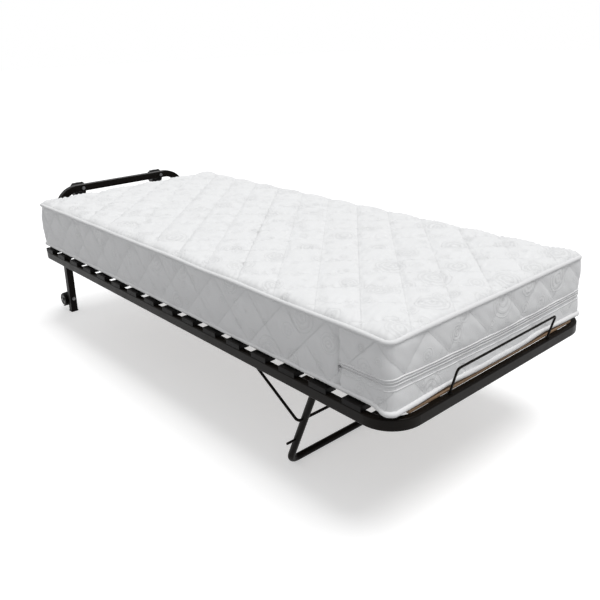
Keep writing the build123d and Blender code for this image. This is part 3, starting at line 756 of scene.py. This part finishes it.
def surface(w, shader, colour, gloss, height, strength, distance):
    """Join a colour, a roughness and the bumps of a height to the shader."""
    w.feed(shader.inputs["Base Color"], colour)
    w.feed(shader.inputs["Roughness"], gloss)
    node = w.put("ShaderNodeBump", {"Height": height, "Strength": strength, "Distance": distance})
    w.feed(shader.inputs["Normal"], node.outputs["Normal"])


def ticking_finish(colours, quilt_pitch):
    """White damask ticking: shiny rings on a matter ribbed ground, with stitches in the quilt lines."""
    material, shader, w = principled(
        "damask_ticking", Sheen_Weight=0.12, Sheen_Roughness=0.45, Specular_IOR_Level=0.55
    )
    cloth = w.cloth()
    large = place_group(w, ring_motif(), cloth, Scale=7.4, Rings=18.8)["Ring"]
    moved = w.stretched(cloth, (1, 1, 1), (0.37, 0.91, 0))
    small = place_group(w, ring_motif(), moved, Scale=15.5, Rings=12.5)["Ring"]
    ring = w.calc("MAXIMUM", large, w.calc("MULTIPLY", small, 0.7))
    ground = place_group(w, knit_ground(), cloth, Threads=5200.0)
    thread = place_group(w, quilt_thread(), cloth, Pitch=quilt_pitch)["Thread"]
    base = tuple(colours.ticking)
    shade = toned(base, 0.87)
    tone = w.calc("MULTIPLY_ADD", ring, 0.55, w.spread(ground["Cloud"], 0.3, 0.7, 0.0, 0.25), clamp=True)
    colour = w.tint(tone, base, shade)
    colour = w.tint(w.calc("MULTIPLY", thread, 0.5), colour, toned(base, 0.97))
    shine = w.calc("MULTIPLY_ADD", ground["Cloud"], 0.15, w.calc("MULTIPLY", ring, 0.85))
    gloss = w.spread(shine, 0.0, 1.0, 0.60, 0.36)
    height = w.calc("MULTIPLY_ADD", ring, 0.8, w.calc("MULTIPLY", ground["Weave"], 0.10))
    height = w.calc("MULTIPLY_ADD", thread, 0.8, height)
    surface(w, shader, colour, gloss, height, 0.9, 0.0010)
    return material


def tape_finish(colours):
    """Woven edge tape: a fine herringbone of two waves along and across it."""
    material, shader, w = principled("edge_tape", Sheen_Weight=0.15, Specular_IOR_Level=0.45)
    cloth = w.cloth()
    ground = place_group(w, knit_ground(), cloth, Threads=4200.0)
    base = tuple(colours.tape)
    colour = w.tint(ground["Cloud"], base, toned(base, 0.93))
    gloss = w.spread(ground["Weave"], 0, 1, 0.55, 0.72)
    surface(w, shader, colour, gloss, ground["Weave"], 0.6, 0.0004)
    return material


def thread_finish(colours):
    """Sewing thread and zip coil: white and slightly glossy, twisted along its run."""
    material, shader, w = principled("white_thread", Specular_IOR_Level=0.5)
    place = w.place()
    twist = w.noise(w.stretched(place, (1, 1, 3)), 1400.0, 1.0)
    base = tuple(colours.tape)
    colour = w.tint(twist, base, toned(base, 0.86))
    gloss = w.spread(twist, 0, 1, 0.38, 0.55)
    surface(w, shader, colour, gloss, twist, 0.4, 0.0003)
    return material


def coated_finish(name, colour, rough, grain, dust, marks):
    """Black powder coat or plastic: fine grain, a change of gloss, scuffs and a little dust."""
    worn, dusty = (0.035, 0.030, 0.026), (0.045, 0.038, 0.032)
    material, shader, w = principled(name, Specular_IOR_Level=0.09)
    place = w.place()
    skin = place_group(w, coat_grain(), place, Scale=grain)
    mark = place_group(w, rub_marks(), place, Amount=marks)["Mark"]
    settled = place_group(w, settled_dust(), place, Amount=dust)["Dust"]
    base = tuple(colour)
    body = w.tint(skin["Tone"], toned(base, 0.75), toned(base, 1.35))
    body = w.tint(w.calc("MULTIPLY", mark, 0.5), body, worn)
    body = w.tint(settled, body, dusty)
    gloss = w.spread(skin["Tone"], 0.25, 0.75, rough - 0.07, rough + 0.08)
    change = w.calc("MULTIPLY_ADD", settled, 0.5, w.calc("MULTIPLY", mark, -0.1))
    gloss = w.calc("ADD", gloss, change, clamp=True)
    surface(w, shader, body, gloss, skin["Height"], 0.35, 0.00025)
    return material


def beech_finish(colours):
    """Lacquered beech: warm bands, dark ray flecks and a small difference from slat to slat."""
    material, shader, w = principled("beech", Specular_IOR_Level=0.45, Coat_Weight=0.12)
    place = w.place()
    figure = place_group(w, wood_figure(), place)
    base = tuple(colours.beech)
    colour = w.tint(w.spread(figure["Band"], 0.3, 0.7), toned(base, 1.18), toned(base, 0.78))
    colour = w.tint(w.calc("MULTIPLY", figure["Fleck"], 0.45), colour, toned(base, 0.45))
    colour = w.tint(w.spread(figure["Piece"], 0.35, 0.65, 0.0, 0.30), colour, (0.36, 0.20, 0.10))
    gloss = w.spread(figure["Band"], 0.3, 0.7, 0.38, 0.52)
    height = w.calc("MULTIPLY_ADD", figure["Fleck"], -0.6, figure["Band"])
    surface(w, shader, colour, gloss, height, 0.3, 0.0004)
    return material


def plated_finish(colours):
    """Dark zinc plate on bolts, stems, clips and axles: fine turned lines and a clouded tone."""
    material, shader, w = principled("zinc_plate", Metallic=1.0)
    place = w.place()
    skin = place_group(w, coat_grain(), place, Scale=1500.0)
    base = tuple(colours.zinc)
    colour = w.tint(skin["Tone"], toned(base, 0.7), toned(base, 1.3))
    gloss = w.spread(skin["Height"], 0.3, 0.7, 0.28, 0.48)
    surface(w, shader, colour, gloss, skin["Height"], 0.2, 0.0002)
    return material


def wheel_finish(number, colours):
    """A castor wheel: glossier hub inside, matt ribbed tread outside, told apart by the distance from
    the axle."""
    low, high = (np.array(corner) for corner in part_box(f"castor_wheel_{number}_left"))
    centre = (low + high) / 2
    material, shader, w = principled(f"castor_tread_{number}", Specular_IOR_Level=0.45)
    place = w.place()
    about = w.stretched(place, (1, 1, 1), (0, -centre[1], -centre[2]))
    parts = w.axes(about)
    squares = w.calc("MULTIPLY_ADD", parts["Y"], parts["Y"], w.calc("MULTIPLY", parts["Z"], parts["Z"]))
    tread = w.spread(w.calc("SQRT", squares), 0.0212, 0.0218)
    skin = place_group(w, coat_grain(), place, Scale=1100.0)
    settled = place_group(w, settled_dust(), place, Amount=0.25)["Dust"]
    base = tuple(colours.plastic)
    colour = w.tint(tread, toned(base, 1.1), toned(base, 1.9))
    colour = w.tint(settled, colour, (0.08, 0.075, 0.07))
    gloss = w.spread(tread, 0, 1, 0.34, 0.66)
    surface(w, shader, colour, gloss, skin["Height"], 0.4, 0.0003)
    return material


def dress(names, material):
    """Give CAD nodes one material."""
    for name in names:
        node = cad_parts[name]
        node.data.materials.clear()
        node.data.materials.append(material)


# Operators


class BedStep:
    """What the operators share: each makes its pieces in the scene that it is given."""

    def execute(self, context):
        self.make(context.scene)
        return {"FINISHED"}


class BED_OT_stage(BedStep, bpy.types.Operator):
    """Set the floor, the room's light, the lamp and the camera"""

    bl_idname = "stacking_bed.stage"
    bl_label = "Studio"

    def make(self, scene):
        light = scene.bed_light
        scene.view_settings.view_transform = "Standard"
        set_floor(light.floor, light.glow)
        set_room(light.room, light.glare)
        set_key("overhead", (0.08, -0.30, 0.95), light.key_angle, light.key)
        set_camera(scene)


def set_floor(paleness, glow):
    """A wide pale floor. The camera sees it paler than the light it gives back to the bed."""
    side = 30.0
    mesh = bpy.data.meshes.new("floor")
    corners = [(-side, -side, 0), (side, -side, 0), (side, side, 0), (-side, side, 0)]
    mesh.from_pydata(corners, [], [(0, 1, 2, 3)])
    floor = new_object("floor", mesh)
    material = bpy.data.materials.new("studio_floor")
    material.use_nodes = True
    tree = material.node_tree
    tree.nodes.clear()
    w = Wiring(tree)
    path = w.put("ShaderNodeLightPath")
    seen = w.calc("MAXIMUM", path.outputs["Is Camera Ray"], path.outputs["Is Glossy Ray"])
    dim = w.put("ShaderNodeBsdfDiffuse", {"Color": (0.38, 0.38, 0.385, 1)})
    pale = w.put("ShaderNodeBsdfDiffuse", {"Color": (paleness, paleness, paleness, 1)})
    kept = w.put("ShaderNodeEmission", {"Color": (glow, glow, glow, 1), "Strength": 1.0})
    lit = w.put("ShaderNodeAddShader", {0: pale.outputs[0], 1: kept.outputs[0]})
    mix = w.put("ShaderNodeMixShader", {0: seen, 1: dim.outputs[0], 2: lit.outputs[0]})
    end = w.put("ShaderNodeOutputMaterial")
    tree.links.new(mix.outputs[0], end.inputs["Surface"])
    mesh.materials.append(material)


def set_room(strength, glare):
    """Even light from all round, stronger from the sky beyond the head, white to the camera."""
    world = bpy.data.worlds.new("studio")
    bpy.context.scene.world = world
    world.use_nodes = True
    tree = world.node_tree
    tree.nodes.clear()
    w = Wiring(tree)
    path = w.put("ShaderNodeLightPath")
    seen = w.calc("MAXIMUM", path.outputs["Is Camera Ray"], path.outputs["Is Transmission Ray"])
    ray = w.put("ShaderNodeTexCoord").outputs["Generated"]
    parts = w.axes(ray)
    beyond = w.spread(w.calc("MULTIPLY_ADD", parts["X"], 0.5, parts["Y"]), 0.2, 1.1)
    level = w.calc("MULTIPLY", w.calc("MULTIPLY_ADD", beyond, glare, 1.0), strength)
    even = w.put("ShaderNodeBackground", {"Color": (0.985, 0.99, 1, 1), "Strength": level})
    white = w.put("ShaderNodeBackground", {"Color": (1, 1, 1, 1), "Strength": 1.0})
    mix = w.put("ShaderNodeMixShader", {0: seen, 1: even.outputs[0], 2: white.outputs[0]})
    end = w.put("ShaderNodeOutputWorld")
    tree.links.new(mix.outputs[0], end.inputs["Surface"])


def set_key(name, toward, angle, strength):
    """A soft sun that shines from the given direction."""
    data = bpy.data.lights.new(name, "SUN")
    data.angle = angle
    data.energy = strength
    lamp = new_object(name, data)
    back = np.array(toward) / np.linalg.norm(toward)
    right = np.cross([0, 0, 1], back)
    right /= np.linalg.norm(right)
    lamp.matrix_world = turned(right, np.cross(back, right), back, (0, 0, 3))


def turned(right, up, back, place):
    """World matrix from three unit directions and a place."""
    matrix = Matrix.Identity(4)
    for column, axis in enumerate((right, up, back, place)):
        for row in range(3):
            matrix[row][column] = axis[row]
    return matrix


def set_camera(scene):
    """The photograph's viewpoint: low over the near foot corner, looking towards the head."""
    back = np.array([-0.6376, -0.7198, 0.2746])
    back /= np.linalg.norm(back)
    up = np.array([0.2061, 0.1841, 0.9611])
    up -= back * up.dot(back)
    up /= np.linalg.norm(up)
    data = bpy.data.cameras.new("viewpoint")
    data.sensor_width = 36
    data.lens = 41.76
    data.shift_x = -0.0217
    data.shift_y = -0.1117
    camera = new_object("viewpoint", data)
    camera.matrix_world = turned(np.cross(up, back), up, back, (-1.403, -1.8975, 1.143))
    scene.camera = camera


class BED_OT_cover(BedStep, bpy.types.Operator):
    """Sew the quilted cover with its border and underside"""

    bl_idname = "stacking_bed.cover"
    bl_label = "Mattress cover"

    def make(self, scene):
        sizes = scene.bed_mattress
        make_cover(sizes, ticking_finish(scene.bed_colours, sizes.quilt_pitch))


class BED_OT_tapes(BedStep, bpy.types.Operator):
    """Roll the tapes round the top and bottom edges"""

    bl_idname = "stacking_bed.tapes"
    bl_label = "Edge tapes"

    def make(self, scene):
        sizes = scene.bed_mattress
        material = tape_finish(scene.bed_colours)
        low, high = tape_levels(sizes)
        make_tape("tape_top", sizes, high, 31, material)
        make_tape("tape_bottom", sizes, low, 32, material)


class BED_OT_zip(BedStep, bpy.types.Operator):
    """Lay the zip's flaps, coil and slider on the border"""

    bl_idname = "stacking_bed.zip"
    bl_label = "Zip"

    def make(self, scene):
        sizes = scene.bed_mattress
        tape = tape_finish(scene.bed_colours)
        thread = thread_finish(scene.bed_colours)
        zip_ridge("zip_flap_top", sizes, 0.000, 0.0002, 0.0021, 0.0024, tape)
        zip_ridge("zip_flap_lip", sizes, 0.0065, 0.0004, 0.0021, 0.0024, tape)
        zip_ridge("zip_coil", sizes, 0.0105, -0.0004, 0.0012, 0.0018, thread, tooth=0.0024)
        zip_ridge("zip_flap_low", sizes, 0.0145, 0.0003, 0.0020, 0.0023, tape)
        zip_ridge("zip_hem", sizes, 0.0270, -0.0004, 0.0014, 0.0018, tape)
        make_slider(sizes, plated_finish(scene.bed_colours))


class BED_OT_seams(BedStep, bpy.types.Operator):
    """Stitch the upright seams on both long sides"""

    bl_idname = "stacking_bed.seams"
    bl_label = "Side seams"

    def make(self, scene):
        sizes = scene.bed_mattress
        thread = thread_finish(scene.bed_colours)
        near, far = side_seams(Rim(sizes, sizes.border_inset))
        make_seam_stitches("seam_stitches_near", sizes, near, 1, thread)
        make_seam_stitches("seam_stitches_far", sizes, far, -1, thread)


class BED_OT_steel(BedStep, bpy.types.Operator):
    """Coat the ring, hoop, leg, brace, brackets and retaining wire"""

    bl_idname = "stacking_bed.steel"
    bl_label = "Powder-coated steel"

    def make(self, scene):
        colours = scene.bed_colours
        tube = coated_finish("powder_coat", colours.steel, 0.34, 900.0, 0.10, 1.0)
        dress(["main_frame", "head_hoop", "hoop_stays", "folding_leg", "leg_brackets", "brace_guides"], tube)
        wire = coated_finish("coated_wire", colours.steel, 0.30, 1300.0, 0.05, 0.6)
        dress(["brace", "catch_pins", "mattress_retainer"], wire)


class BED_OT_plastic(BedStep, bpy.types.Operator):
    """Finish the slat holders, foot caps, bushes, grommets and castors"""

    bl_idname = "stacking_bed.plastic"
    bl_label = "Plastic and rubber"

    def make(self, scene):
        colours = scene.bed_colours
        moulded = coated_finish("moulded_plastic", colours.plastic, 0.46, 700.0, 0.14, 0.4)
        dress(["slat_holders_left", "slat_holders_right", "hoop_feet", "leg_bushes"], moulded)
        dress([f"castor_hood_{number}" for number in range(1, 5)], moulded)
        dress(["retainer_grommets"], coated_finish("soft_rubber", colours.plastic, 0.68, 500.0, 0.12, 0.0))
        for number in range(1, 5):
            wheels = [f"castor_wheel_{number}_left", f"castor_wheel_{number}_right"]
            dress(wheels, wheel_finish(number, colours))


class BED_OT_slats(BedStep, bpy.types.Operator):
    """Lacquer the beech slats"""

    bl_idname = "stacking_bed.slats"
    bl_label = "Beech slats"

    def make(self, scene):
        names = [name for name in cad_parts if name.startswith("slat_") and "holders" not in name]
        dress([*names, "foot_slat"], beech_finish(scene.bed_colours))


class BED_OT_fittings(BedStep, bpy.types.Operator):
    """Plate the bolts, stems, clips and axles"""

    bl_idname = "stacking_bed.fittings"
    bl_label = "Plated fittings"

    def make(self, scene):
        axles = [f"castor_axle_{number}" for number in range(1, 5)]
        names = ["catch_clips", "leg_pivot_bolts", "castor_stems", *axles]
        dress(names, plated_finish(scene.bed_colours))


OPERATORS = (
    *(BED_OT_stage, BED_OT_cover, BED_OT_tapes, BED_OT_zip, BED_OT_seams),
    *(BED_OT_steel, BED_OT_plastic, BED_OT_slats, BED_OT_fittings),
)


class BED_PT_panel(bpy.types.Panel):
    """Sidebar panel that lists the bed's pieces"""

    bl_label = "Stacking Bed"
    bl_idname = "BED_PT_panel"
    bl_space_type = "VIEW_3D"
    bl_region_type = "UI"
    bl_category = "Stacking Bed"

    def draw(self, context):
        for operator in OPERATORS:
            self.layout.operator(operator.bl_idname)
        for group in (context.scene.bed_mattress, context.scene.bed_colours, context.scene.bed_light):
            box = self.layout.box()
            for label in group.__annotations__:
                box.prop(group, label)


CLASSES = (MattressSizes, FinishColours, StudioLight, *OPERATORS, BED_PT_panel)


def register():
    for piece in CLASSES:
        bpy.utils.register_class(piece)
    bpy.types.Scene.bed_mattress = PointerProperty(type=MattressSizes)
    bpy.types.Scene.bed_colours = PointerProperty(type=FinishColours)
    bpy.types.Scene.bed_light = PointerProperty(type=StudioLight)


def unregister():
    del bpy.types.Scene.bed_light
    del bpy.types.Scene.bed_colours
    del bpy.types.Scene.bed_mattress
    for piece in reversed(CLASSES):
        bpy.utils.unregister_class(piece)


def main():
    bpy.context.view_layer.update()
    register()
    for operator in OPERATORS:
        family, word = operator.bl_idname.split(".")
        getattr(getattr(bpy.ops, family), word)()


if __name__ == "__main__":
    main()
